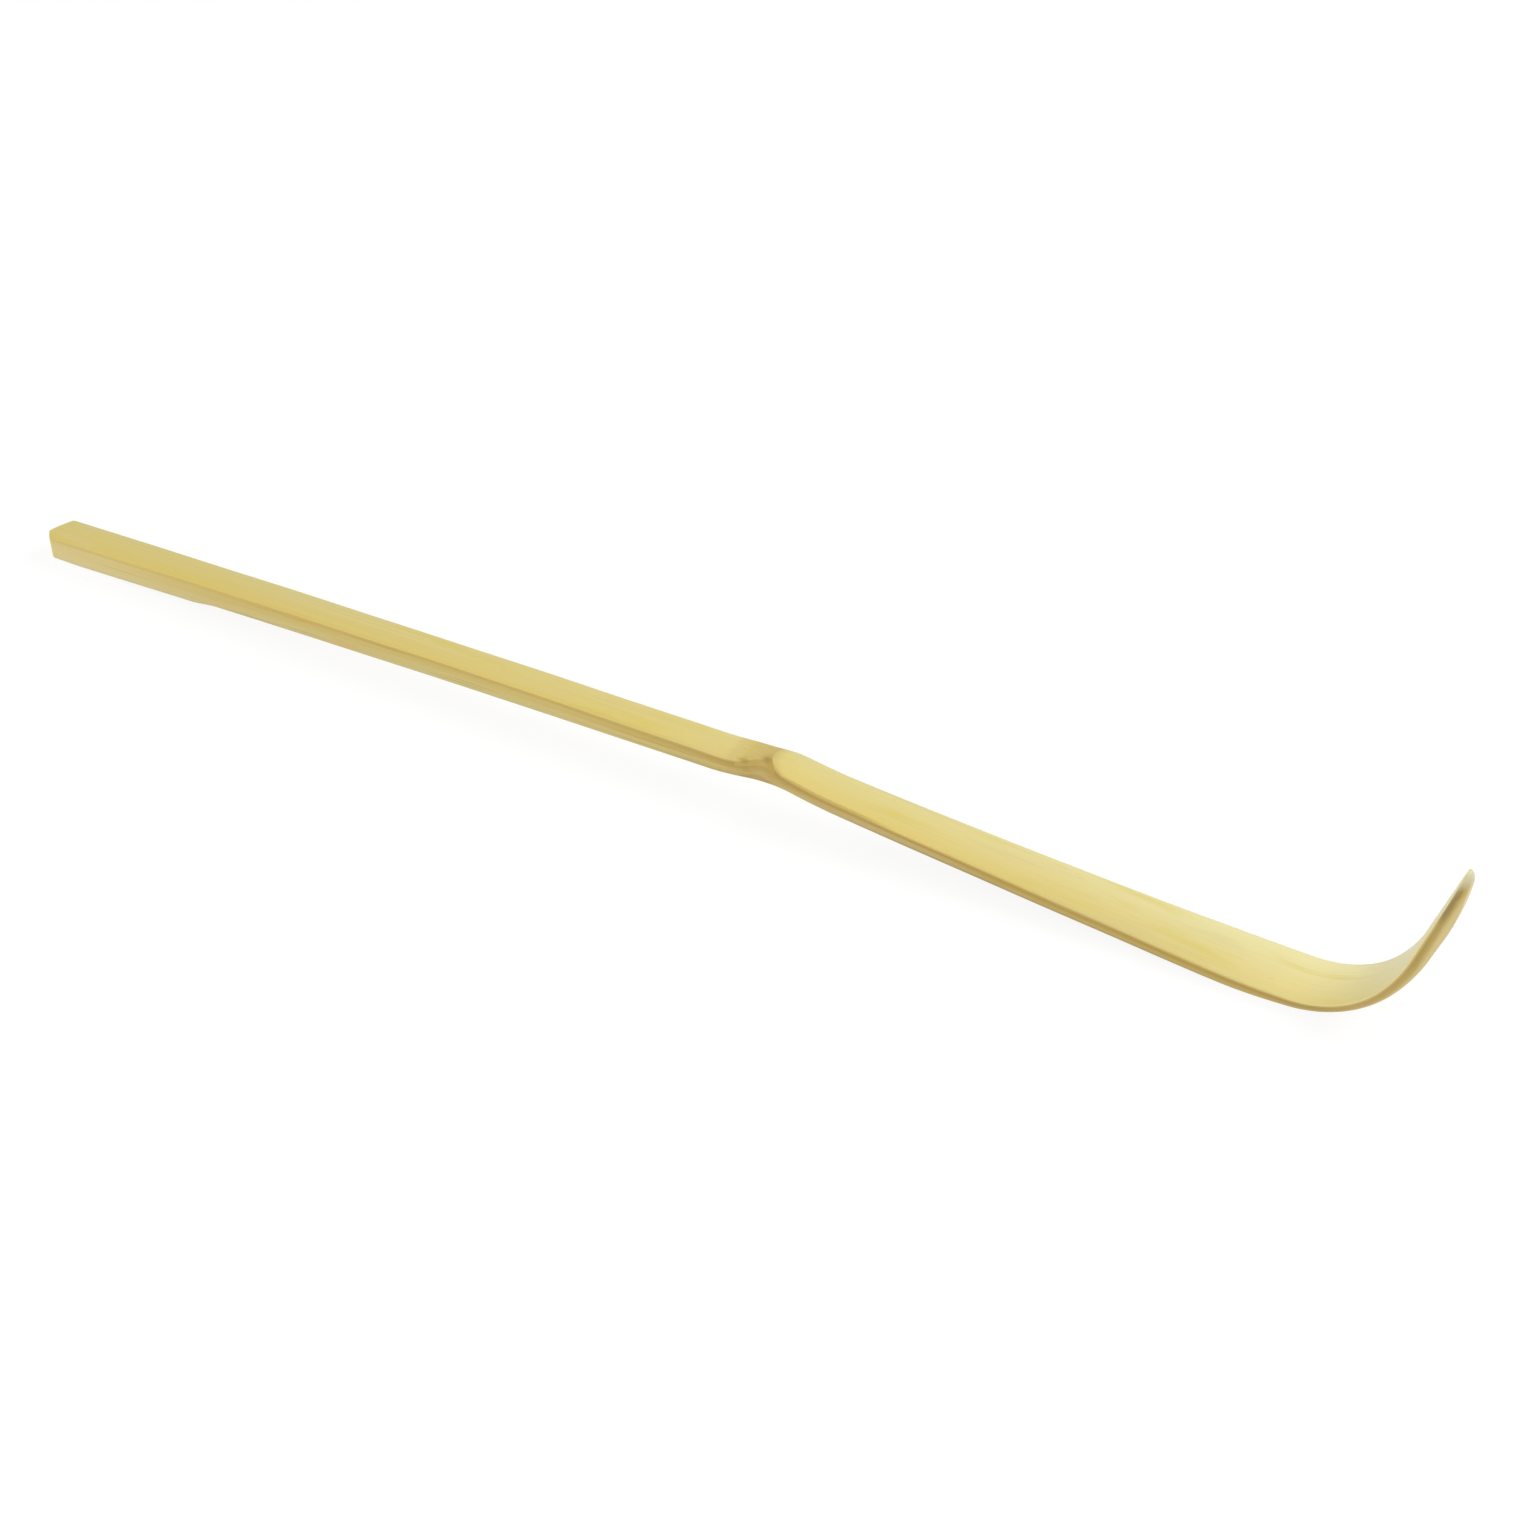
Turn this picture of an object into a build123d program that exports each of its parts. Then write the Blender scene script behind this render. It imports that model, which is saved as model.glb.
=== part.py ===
from build123d import *
from math import atan2, degrees, hypot, radians, sqrt
import os

# A tea scoop whittled and heat-bent from one slip of bamboo, in millimetres.
# The slip's skin side is up. +X runs from the butt to the tip, Y across the slip and +Z up, and the
# scoop lies as on a table, on the heel of its butt and the underside of its bend. The origin is on
# the table, below the middle of its length.
# Nothing is glued or pegged. The solids are the tissues that grew together in the slip, and they
# meet face to face: the wood of the culm's wall, the skin of each internode, the planed ring of the
# node, and the stub of the septum under it.

# Middle line of the upper face, from the butt: each run's length, and how many degrees it turns up
grip_length = 94.5
grip_angle = -1.85
node_rise_length = 5.2
node_rise_angle = 8.0
node_crest_length = 6.0
node_crest_angle = -20.4
node_fall_length = 6.0
node_fall_angle = 6.6
blade_length = 47.0
blade_angle = 2.1
bend_entry_length = 8.0
bend_entry_angle = 3.4
bend_length = 11.1
bend_angle = 54.3
bend_exit_length = 6.0
bend_exit_angle = 17.5
tip_length = 12.6

# Widths of the upper face
butt_width = 4.45
grip_middle_width = 4.2
node_width = 4.35
blade_root_width = 5.1
blade_first_third_width = 5.75
blade_second_third_width = 6.5
scoop_width = 7.75
tip_width = 5.0

# Thicknesses from the upper face to the underside
butt_thickness = 3.3
grip_middle_thickness = 3.05
grip_end_thickness = 2.6
node_thickness = 2.15
blade_root_thickness = 2.0
blade_end_thickness = 1.95
bend_thickness = 1.65
bend_end_thickness = 1.65
tip_thickness = 1.95

# How much narrower the underside is, on each side
grip_side_inset = 0.2
bend_side_inset = 0.65
tip_side_inset = 1.2

# The upper face keeps the round of the culm that the slip was split from
culm_radius = 25.0
skin_thickness = 0.35

# Butt: two knife cuts that meet in a ridge, and a thicker foot with a flat heel
butt_ridge_offset = 0.9
butt_far_cut = 1.3
butt_near_cut = 1.1
foot_length = 22.0
foot_ramp_length = 3.6
foot_rise = 0.35
heel_flat_length = 5.0

# Node: the ring, the septum's stub below it, and a scallop in each edge. Offsets run from the grip's end
ring_offset = 3.5
ring_length = 3.9
ring_depth = 0.8
septum_chord = 3.6
septum_depth = 0.6
scallop_offset = 7.0
scallop_radius = 3.0
near_scallop_depth = 1.65
far_scallop_depth = 0.3
scallop_foot_depth = 0.1

# Tip: the half ellipse at its end, and how thin the bevel on its back leaves it
tip_round_length = 7.0
tip_end_thickness = 0.7

# How far a cutting body runs past what it cuts
overrun = 1.0

# What follows from the sizes above
blade_start = grip_length + node_rise_length + node_crest_length + node_fall_length
blade_end = blade_start + blade_length
bend_start = blade_end + bend_entry_length
bend_end = bend_start + bend_length
bend_middle = (bend_start + bend_end) / 2
tip_start = bend_end + bend_exit_length
scoop_length = tip_start + tip_length
tip_round_start = scoop_length - tip_round_length
ramp_end = foot_length + foot_ramp_length
ring_start = grip_length + ring_offset
ring_end = ring_start + ring_length
ring_middle = (ring_start + ring_end) / 2
scallop_place = grip_length + scallop_offset

# Runs of the middle line, as length and turn
runs = [
    (grip_length, grip_angle),
    (node_rise_length, node_rise_angle),
    (node_crest_length, node_crest_angle),
    (node_fall_length, node_fall_angle),
    (blade_length, blade_angle),
    (bend_entry_length, bend_entry_angle),
    (bend_length, bend_angle),
    (bend_exit_length, bend_exit_angle),
]

# Stretches between cross-sections, and how many steps each is divided into: more where it bends
stretches = [
    foot_length,
    foot_ramp_length,
    grip_length - ramp_end,
    node_rise_length,
    node_crest_length,
    node_fall_length,
    blade_length,
    bend_entry_length,
    bend_length,
    bend_exit_length,
    tip_length - tip_round_length,
]
step_counts = [4, 3, 9, 2, 3, 2, 8, 3, 6, 3, 2]

# Width, thickness and the underside's inset along the slip, as place and value
width_table = [
    (0, butt_width),
    (grip_length / 2, grip_middle_width),
    (grip_length, node_width),
    (blade_start, blade_root_width),
    (blade_start + blade_length / 3, blade_first_third_width),
    (blade_start + blade_length * 2 / 3, blade_second_third_width),
    (bend_start, scoop_width),
    (tip_round_start, tip_width),
]
thickness_table = [
    (0, butt_thickness),
    (grip_length / 2, grip_middle_thickness),
    (grip_length, grip_end_thickness),
    (ring_end, node_thickness),
    (blade_start, blade_root_thickness),
    (blade_end, blade_end_thickness),
    (bend_middle, bend_thickness),
    (bend_end, bend_end_thickness),
    (tip_round_start, tip_thickness),
]
inset_table = [
    (0, grip_side_inset),
    (blade_end, grip_side_inset),
    (bend_middle, bend_side_inset),
    (tip_round_start, tip_side_inset),
]


def smooth_value(table, place):
    """The value at a place, on a smooth curve through the table's pairs of place and value."""
    place = min(max(place, table[0][0]), table[-1][0])
    after = next(i for i in range(1, len(table)) if place <= table[i][0])
    start, end = table[after - 1], table[after]
    gap = end[0] - start[0]
    slopes = []
    for i in (after - 1, after):
        before, behind = table[max(i - 1, 0)], table[min(i + 1, len(table) - 1)]
        slopes.append((behind[1] - before[1]) / (behind[0] - before[0]))
    t = (place - start[0]) / gap
    from_start = start[1] * (1 - t) ** 2 * (1 + 2 * t) + slopes[0] * gap * t * (1 - t) ** 2
    from_end = end[1] * t**2 * (3 - 2 * t) - slopes[1] * gap * t**2 * (1 - t)
    return from_start + from_end


def middle_line():
    """Middle line of the upper face, run past both ends: arcs that meet smoothly, level at the butt."""
    edges = [Line((-overrun, 0), (0, 0))]
    for length, turn in runs:
        edges.append(JernArc(edges[-1] @ 1, edges[-1] % 1, length / abs(radians(turn)), turn))
    tip_end = edges[-1] @ 1 + (edges[-1] % 1) * (tip_length + overrun)
    edges.append(Line(edges[-1] @ 1, tip_end))
    return Plane.XZ * Wire(edges)


spine = middle_line()


def cross_plane(place):
    """Plane across the slip: its X runs along the scoop's Y, and its Y out of the upper face."""
    at = place + overrun
    origin = spine.position_at(at, position_mode=PositionMode.LENGTH)
    heading = spine.tangent_at(at, position_mode=PositionMode.LENGTH)
    return Plane(origin=origin, x_dir=(0, 1, 0), z_dir=heading)


def thickness_at(place):
    """Thickness with the foot, which ramps down smoothly to the grip's own thickness."""
    ramp = min(max((ramp_end - place) / foot_ramp_length, 0), 1)
    return smooth_value(thickness_table, place) + foot_rise * ramp**2 * (3 - 2 * ramp)


def underside_point(place):
    """The middle of the underside."""
    across = cross_plane(place)
    return across.origin - across.y_dir * thickness_at(place)


def crown_drop(half_width):
    """How far the round upper face falls from its middle to a place beside it."""
    return culm_radius - sqrt(culm_radius**2 - half_width**2)


def stations():
    """Places of the cross-sections, from before the butt to where the tip's end starts to round."""
    places = [-overrun, 0]
    for length, count in zip(stretches, step_counts):
        start = places[-1]
        places += [start + length * step / count for step in range(1, count + 1)]
    return places


def cross_section(place, sink=0, spread=0):
    """The slip cut across. A spread section is a straight-sided one that stands out around it."""
    half = smooth_value(width_table, place) / 2 + spread
    drop = crown_drop(half) + sink
    depth = thickness_at(place) + spread
    inset = 0 if spread else smooth_value(inset_table, place)
    outline = ThreePointArc((-half, -drop), (0, -sink), (half, -drop))
    outline += Polyline((half, -drop), (half - inset, -depth), (inset - half, -depth), (-half, -drop))
    return cross_plane(place) * make_face(outline)


def below_upper_face(sink):
    """A body that takes in everything deeper than a layer of one thickness, over the whole slip."""
    places = stations() + [scoop_length, scoop_length + overrun]
    return loft([cross_section(place, sink, overrun) for place in places])


def tip_outline(level, narrowing_share):
    """The rounded end at a level from its upper edge: it narrows by a share of how far it is below."""
    half = tip_width / 2 + level * narrowing_share
    reach = tip_round_length + level * narrowing_share
    arc = EllipticalCenterArc((0, 0), reach, half, start_angle=-90, arc_size=180)
    return make_face(arc + Line((0, half), (0, -half)))


def tip_bevel_waste():
    """What a knife takes off the tip's back, so that it thins to its end. X runs on to the end."""
    slope = (tip_thickness - tip_end_thickness) / tip_round_length
    ends = [(x, slope * x - tip_thickness) for x in (-overrun, tip_round_length + overrun)]
    low = -tip_thickness - 2 * overrun
    outline = Polyline(*ends, (ends[1][0], low), (ends[0][0], low), close=True)
    return extrude(Plane.XZ * make_face(outline), tip_width, both=True)


def tip_end():
    """The rounded end of the tip, bevelled on its back, under the same round upper face."""
    across = cross_plane(tip_round_start)
    tip_plane = Plane(origin=across.origin, x_dir=across.z_dir, z_dir=across.y_dir)
    edge = -crown_drop(tip_width / 2)
    narrowing_share = tip_side_inset / (tip_thickness + edge)
    outlines = [Pos(0, 0, z) * tip_outline(z - edge, narrowing_share) for z in (-tip_thickness, overrun)]
    culm = Pos(0, 0, -culm_radius) * Rotation(0, 90, 0) * Cylinder(culm_radius, 2 * scoop_length)
    return tip_plane * ((loft(outlines, ruled=True) & culm) - tip_bevel_waste())


def butt_waste():
    """What two knife cuts take off the butt. They meet in an upright ridge beside its middle."""
    side = butt_width / 2 + overrun
    near_cut = butt_near_cut * (side - butt_ridge_offset) / (butt_width / 2 - butt_ridge_offset)
    far_cut = butt_far_cut * (side + butt_ridge_offset) / (butt_width / 2 + butt_ridge_offset)
    back = -2 * overrun
    cuts = [(near_cut, -side), (0, -butt_ridge_offset), (far_cut, side)]
    outline = Polyline(*cuts, (back, side), (back, -side), close=True)
    depth = butt_thickness + foot_rise + 2 * overrun
    return extrude(Pos(0, 0, overrun) * make_face(outline), -depth)


def scallop_waste(side, depth):
    """What a round blade takes off one edge at the node: much of its top, and little of its foot."""
    across = cross_plane(scallop_place)
    height = thickness_at(scallop_place)
    step_out = depth - scallop_foot_depth
    stretch = scallop_radius * hypot(step_out, height) / height
    half = smooth_value(width_table, scallop_place) / 2
    middle = across.origin + across.x_dir * side * (half - depth + stretch)
    axis = across.y_dir * height - across.x_dir * side * step_out
    return Plane(origin=middle, x_dir=across.z_dir, z_dir=axis) * Cylinder(scallop_radius, 4 * height)


def support_line():
    """Plane of the table: under the heel and under the lowest place of the bend."""
    heel = underside_point(heel_flat_length)
    slopes = []
    for step in range(201):
        reach = underside_point(blade_end + (bend_end - blade_end) * step / 200) - heel
        slopes.append(atan2(reach.Z, reach.X))
    return Plane(heel) * Rotation(0, -degrees(min(slopes)), 0)


def heel_waste(table):
    """What the flat of the heel takes off the foot's underside."""
    size = butt_width + 2 * overrun
    length = heel_flat_length + 2 * overrun
    return table * Pos(overrun - length / 2, 0, -size / 2) * Box(length, size, size)


def node_slab():
    """The stretch of the slip that the ring spans, cut square across at both ends."""
    size = 2 * (node_width + butt_thickness)
    return loft([cross_plane(place) * Rectangle(size, size) for place in (ring_start, ring_end)])


def septum_tool():
    """The round root of the septum under the node."""
    radius = (septum_chord**2 / 4 + septum_depth**2) / (2 * septum_depth)
    across = cross_plane(ring_middle)
    middle = underside_point(ring_middle) - across.y_dir * (radius - septum_depth)
    return Plane(origin=middle, x_dir=across.z_dir, z_dir=across.x_dir) * Cylinder(radius, 2 * node_width)


def whittled_slip(table):
    """The whole bent slip with its ends, its node and its heel cut."""
    slip = loft([cross_section(place) for place in stations()]) + tip_end()
    slip -= butt_waste()
    slip -= scallop_waste(-1, near_scallop_depth)
    slip -= scallop_waste(1, far_scallop_depth)
    return slip - heel_waste(table)


def tissues(table):
    """The slip, parted where its tissues meet."""
    slip = whittled_slip(table)
    under_skin = below_upper_face(skin_thickness)
    slab = node_slab()
    ring_tool = slab - below_upper_face(ring_depth)
    skins = (slip - under_skin - slab).solids().sort_by(Axis.X)
    return {
        "culm_wall": (slip & under_skin) - ring_tool - septum_tool(),
        "grip_skin": skins[0],
        "blade_skin": skins[-1],
        "node_ring": slip & ring_tool,
        "septum_stub": slip & septum_tool(),
    }


table = support_line()
parts = tissues(table)
laid_down = {name: table.inverse() * part for name, part in parts.items()}
reach = Compound(children=[Compound(part.solids()) for part in laid_down.values()]).bounding_box()
to_origin = Pos(-reach.center().X, 0, 0)

os.makedirs("parts", exist_ok=True)
for name, part in laid_down.items():
    export_step(to_origin * part, f"parts/{name}.step")
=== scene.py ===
import math
from functools import lru_cache

import bmesh
import bpy
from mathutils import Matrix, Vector


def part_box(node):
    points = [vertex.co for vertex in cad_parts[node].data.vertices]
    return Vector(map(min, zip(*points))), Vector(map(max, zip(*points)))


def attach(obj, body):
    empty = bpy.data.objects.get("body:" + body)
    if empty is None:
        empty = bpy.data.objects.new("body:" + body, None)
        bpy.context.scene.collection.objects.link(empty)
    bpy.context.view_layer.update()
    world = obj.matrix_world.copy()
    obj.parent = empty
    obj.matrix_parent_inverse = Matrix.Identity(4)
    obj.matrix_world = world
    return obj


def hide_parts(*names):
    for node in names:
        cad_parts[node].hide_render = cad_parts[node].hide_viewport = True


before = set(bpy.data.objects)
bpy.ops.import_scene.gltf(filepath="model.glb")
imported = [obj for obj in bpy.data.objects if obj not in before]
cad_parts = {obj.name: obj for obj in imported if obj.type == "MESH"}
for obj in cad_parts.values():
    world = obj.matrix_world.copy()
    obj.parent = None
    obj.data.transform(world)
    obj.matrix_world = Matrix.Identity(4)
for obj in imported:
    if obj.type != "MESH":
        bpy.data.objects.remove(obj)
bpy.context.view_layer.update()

# A tea scoop whittled and heat-bent from one slip of bamboo. Each tissue of the slip is first laid
# out straight, with X along the slip, Y across it and Z out of its skin, and is then bent along the
# middle line as the maker bends it over heat. Sizes are in millimetres until a mesh is written.
MM = 0.001

# In a mesh, points closer than this many metres are one, and edges past this many degrees are sharp
MERGE_DISTANCE = 1e-7
SHARP_ANGLE = 38

# Middle line of the skin side, from the butt: each run's length, and how many degrees it turns up.
# A run that turns by less than LEAST_TURN, in radians, is straight.
GRIP_LENGTH = 94.5
NODE_RISE_LENGTH = 5.2
NODE_CREST_LENGTH = 6.0
NODE_FALL_LENGTH = 6.0
BLADE_LENGTH = 47.0
BEND_ENTRY_LENGTH = 8.0
BEND_LENGTH = 11.1
BEND_EXIT_LENGTH = 6.0
TIP_LENGTH = 12.6
LEAST_TURN = 1e-9
RUNS = [
    (GRIP_LENGTH, -1.85),
    (NODE_RISE_LENGTH, 8.0),
    (NODE_CREST_LENGTH, -20.4),
    (NODE_FALL_LENGTH, 6.6),
    (BLADE_LENGTH, 2.1),
    (BEND_ENTRY_LENGTH, 3.4),
    (BEND_LENGTH, 54.3),
    (BEND_EXIT_LENGTH, 17.5),
    (TIP_LENGTH, 0.0),
]
BLADE_START = GRIP_LENGTH + NODE_RISE_LENGTH + NODE_CREST_LENGTH + NODE_FALL_LENGTH
BLADE_END = BLADE_START + BLADE_LENGTH
BEND_START = BLADE_END + BEND_ENTRY_LENGTH
BEND_END = BEND_START + BEND_LENGTH
BEND_MIDDLE = (BEND_START + BEND_END) / 2
SCOOP_LENGTH = BEND_END + BEND_EXIT_LENGTH + TIP_LENGTH

# The tip: its rounded end, the bevel on its back, and how the lines of its mesh fan out
TIP_ROUND_LENGTH = 7.0
TIP_ROUND_START = SCOOP_LENGTH - TIP_ROUND_LENGTH
TIP_FAN_LEAD = 4
TIP_FAN_START = TIP_ROUND_START - TIP_FAN_LEAD
TIP_FAN_SPREAD = 0.36
TIP_FAN_SHARE = 0.65
TIP_FAN_LIMIT = 0.9999
TIP_BEVEL_LENGTH = 9.0
TIP_BEVEL_POWER = 1.9
TIP_THICKNESS = 1.95
TIP_END_THICKNESS = 0.7

# The node: the planed ring, the septum's stub under it, how deep the slip's edges are scalloped
# there, and how far its underside swells
RING_START = GRIP_LENGTH + 3.5
RING_LENGTH = 3.9
RING_END = RING_START + RING_LENGTH
RING_MIDDLE = RING_START + RING_LENGTH / 2
RING_DEPTH = 0.8
SEPTUM_CHORD = 3.6
SEPTUM_DEPTH = 0.6
SEPTUM_EDGE = 0.004
SCALLOP_PLACE = GRIP_LENGTH + 6.8
SCALLOP_BEFORE = 2.15
SCALLOP_AFTER = 2.2
NEAR_SCALLOP_DEPTH = 1.7
FAR_SCALLOP_DEPTH = 0.3
NODE_SWELL = 0.1
NODE_SWELL_REACH = 2.6

# The skin of the blade starts as a rounded tongue, a little to the far side of the middle
TONGUE_MIDDLE = 0.5
TONGUE_BOW = 0.24
TONGUE_REACH = 3.5

# The two dark spots at the node, along the upper edge of the near scallop: each one's middle on the
# straight slip, and its reach along, across and down
NODE_DARK_SPOTS = [
    ((99.15, -1.62, -0.1), (1.3, 0.45, 0.6)),
    ((101.5, -0.62, -0.1), (0.95, 0.52, 0.7)),
]

# The butt: two knife cuts that meet in a ridge, a thicker foot and a flat heel
BUTT_WIDTH = 4.45
BUTT_RIDGE_OFFSET = 0.9
BUTT_RIDGE_ROUNDING = 0.08
BUTT_FAR_CUT = 1.4
BUTT_NEAR_CUT = 1.1
BUTT_REACH = 6.0
FOOT_LENGTH = 22.0
FOOT_RAMP_LENGTH = 3.6
FOOT_RISE = 0.35
HEEL_FLAT_LENGTH = 5.0

# The skin keeps the culm's round, and every outside edge is eased by a wipe of the knife
CULM_RADIUS = 25.0
SKIN_THICKNESS = 0.35
SKIN_EDGE_EASE = 0.22
FOOT_EDGE_EASE = 0.26
BUTT_EDGE_EASE = 0.24
BUTT_TOP_EASE = 0.5

# An edge also wanders as the knife's long and short strokes do, less at the ends and at the foot
WANDER = 0.022
WANDER_BUTT_REACH = 12
WANDER_TIP_REACH = 20
WANDER_FOOT_LOSS = 0.6
LONG_STROKE = 5.3
SHORT_STROKE = 2.9
SHORT_STROKE_SHARE = 0.6
SHORT_STROKE_SHIFT = 2.2

# Widths, thicknesses and how far the underside's edges are set in, by place
GRIP_END_WIDTH = 4.35
BLADE_START_WIDTH = 5.1
WIDTHS = [
    (0, BUTT_WIDTH),
    (GRIP_LENGTH / 2, 4.2),
    (GRIP_LENGTH, GRIP_END_WIDTH),
    (BLADE_START, BLADE_START_WIDTH),
    (BLADE_START + BLADE_LENGTH / 3, 5.75),
    (BLADE_START + BLADE_LENGTH * 2 / 3, 6.5),
    (BEND_START, 7.75),
    (TIP_ROUND_START, 5.0),
]
THICKNESSES = [
    (0, 3.3),
    (GRIP_LENGTH / 2, 3.05),
    (GRIP_LENGTH, 2.6),
    (RING_END, 2.15),
    (BLADE_START, 2.0),
    (BLADE_END, 1.95),
    (BEND_MIDDLE, 1.65),
    (BEND_END, 1.65),
    (TIP_ROUND_START, TIP_THICKNESS),
]
INSETS = [
    (0, 0.2),
    (BLADE_END, 0.2),
    (BEND_MIDDLE, 0.65),
    (TIP_ROUND_START, 1.2),
]

# The meshes are lattices. Each stretch of the slip has its own spacing of the lines across it
STRETCHES = [
    (0, 2, 0.35),
    (2, FOOT_LENGTH - 1, 1.4),
    (FOOT_LENGTH - 1, FOOT_LENGTH + 5, 0.6),
    (FOOT_LENGTH + 5, GRIP_LENGTH, 1.5),
    (GRIP_LENGTH, BLADE_START, 0.25),
    (BLADE_START, BLADE_END, 1.2),
    (BLADE_END, BEND_START, 0.8),
    (BEND_START, TIP_FAN_START, 0.45),
    (TIP_FAN_START, SCOOP_LENGTH, 0.5),
]
CLOSEST_LINES = 0.02

# Columns across the slip, how many of them an edge's rounding pushes in, and the steps of a rounding
COLUMNS = 28
EDGE_COLUMNS = 7
EDGE_STEPS = 6
BUTT_EDGE_STEPS = 4

# A point's place and the edges beside it depend on each other, and are worked out in a few rounds
PLACE_ROUNDS = 4
EDGE_ROUNDS = 3
TIP_ROUNDS = 5

# Layers of the wall, and the thin steps at the ring's borders and at the ends of the septum
WALL_LAYERS = 7
BORDER_STEP = 0.01
SEPTUM_STEPS = (0.04, 0.1)

# Depth at which the wall's colours end, in the grip's foot, where the slip is thickest
WALL_DEPTH = 3.6

# Steps of the search for the table and of the middle line's curve, which runs on past the tip
TABLE_STEPS = 200
CURVE_STEPS = 1600
CURVE_OVERRUN = 1.02


# The slip's form

def smooth_value(table, place):
    """The value at a place, on a smooth curve through the table's pairs of place and value."""
    place = min(max(place, table[0][0]), table[-1][0])
    after = next(i for i in range(1, len(table)) if place <= table[i][0])
    start, end = table[after - 1], table[after]
    gap = end[0] - start[0]
    slopes = []
    for i in (after - 1, after):
        before, behind = table[max(i - 1, 0)], table[min(i + 1, len(table) - 1)]
        slopes.append((behind[1] - before[1]) / (behind[0] - before[0]))
    past = (place - start[0]) / gap
    left = 1 - past
    from_start = start[1] * left**2 * (1 + 2 * past) + slopes[0] * gap * past * left**2
    from_end = end[1] * past**2 * (3 - 2 * past) - slopes[1] * gap * past**2 * left
    return from_start + from_end


def middle_point(place):
    """The middle line at a place, level at the butt: X, Z and the heading in radians."""
    x = z = heading = 0.0
    for length, turn in RUNS:
        step = min(length, place)
        turned = math.radians(turn) * step / length
        if abs(turned) < LEAST_TURN:
            x += step * math.cos(heading)
            z += step * math.sin(heading)
        else:
            x += step / turned * (math.sin(heading + turned) - math.sin(heading))
            z += step / turned * (math.cos(heading) - math.cos(heading + turned))
        heading += turned
        place -= step
        if place <= 0:
            break
    return x, z, heading


@lru_cache(maxsize=None)
def cross_cut(place):
    """Half the width, the thickness and the underside's inset at a place."""
    ramp = min(max((FOOT_LENGTH + FOOT_RAMP_LENGTH - place) / FOOT_RAMP_LENGTH, 0), 1)
    thickness = smooth_value(THICKNESSES, place) + FOOT_RISE * ramp**2 * (3 - 2 * ramp)
    return smooth_value(WIDTHS, place) / 2, thickness, smooth_value(INSETS, place)


def crown_drop(y):
    """How far the round skin falls from its middle to a place beside it."""
    return CULM_RADIUS - math.sqrt(CULM_RADIUS**2 - y**2)


def bench_point(place, depth):
    """X and Z of a point on the middle plane, at a depth below the skin."""
    x, z, heading = middle_point(place)
    return x + depth * math.sin(heading), z - depth * math.cos(heading)


def table_line():
    """Where the table lies under the bent slip: a point under the heel, and the slope from it."""
    heel = bench_point(HEEL_FLAT_LENGTH, cross_cut(HEEL_FLAT_LENGTH)[1])
    slopes = []
    for step in range(TABLE_STEPS + 1):
        place = BLADE_END + (BEND_END - BLADE_END) * step / TABLE_STEPS
        x, z = bench_point(place, cross_cut(place)[1])
        slopes.append(math.atan2(z - heel[1], x - heel[0]))
    return heel, min(slopes)


HEEL_POINT, TABLE_SLOPE = table_line()


def laid_down(x, z):
    """A point of the middle plane, turned so that the table is level at zero."""
    x, z = x - HEEL_POINT[0], z - HEEL_POINT[1]
    cosine, sine = math.cos(TABLE_SLOPE), math.sin(TABLE_SLOPE)
    return x * cosine + z * sine, z * cosine - x * sine


def underside_depth(place):
    """Depth of the underside: less than the thickness at the heel and the tip, more at the node."""
    thickness = cross_cut(min(place, TIP_ROUND_START))[1]
    bevelled = (place - SCOOP_LENGTH) / TIP_BEVEL_LENGTH + 1
    if bevelled > 0:
        return thickness - (TIP_THICKNESS - TIP_END_THICKNESS) * bevelled**TIP_BEVEL_POWER
    if place > 2 * HEEL_FLAT_LENGTH:
        return thickness + NODE_SWELL * math.exp(-(((place - RING_END) / NODE_SWELL_REACH) ** 2))
    x, z, heading = middle_point(place)
    return min(thickness, laid_down(x, z)[1] / math.cos(heading - TABLE_SLOPE))


def easing(distance, radius):
    """How far a rounded edge draws back, at a distance from the face beside it."""
    if distance >= radius:
        return 0.0
    return radius - math.sqrt(radius**2 - (radius - max(distance, 0)) ** 2)


def scallop_share(place):
    """How much of its full depth a scallop at the node has, running out to both sides."""
    reach = SCALLOP_BEFORE if place < SCALLOP_PLACE else SCALLOP_AFTER
    return math.exp(-(((place - SCALLOP_PLACE) / reach) ** 2))


def tongue_shift(place, y):
    """How far the line where the blade's skin starts is drawn back beside its tongue's tip."""
    share = min(max(1 - abs(place - RING_END) / TONGUE_REACH, 0), 1)
    return TONGUE_BOW * (y - TONGUE_MIDDLE) ** 2 * share**2 * (3 - 2 * share)


def knife_wander(place, side):
    """The slow wander that long knife strokes leave along an edge."""
    ends = min(place / WANDER_BUTT_REACH, (SCOOP_LENGTH - place) / WANDER_TIP_REACH, 1)
    strokes = math.sin(place / LONG_STROKE + side)
    strokes += SHORT_STROKE_SHARE * math.sin(place / SHORT_STROKE + SHORT_STROKE_SHIFT * side)
    return WANDER * max(ends, 0) * strokes


def edge_at(place, side, depth, under):
    """Distance from the middle plane to the edge on one side, at a depth below the crown's top."""
    half, thickness, inset = cross_cut(place)
    drop = crown_drop(half)
    share = min(max((depth - drop) / (thickness - drop), 0), 1)
    scallop = (NEAR_SCALLOP_DEPTH if side < 0 else FAR_SCALLOP_DEPTH) * (1 - share)
    flank = half - inset * share - scallop * scallop_share(place)
    flank += knife_wander(place, side) * (1 - WANDER_FOOT_LOSS * share)
    ease = easing(depth - crown_drop(flank), SKIN_EDGE_EASE) + easing(under - depth, FOOT_EDGE_EASE)
    return flank - ease


# Meshes

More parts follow.
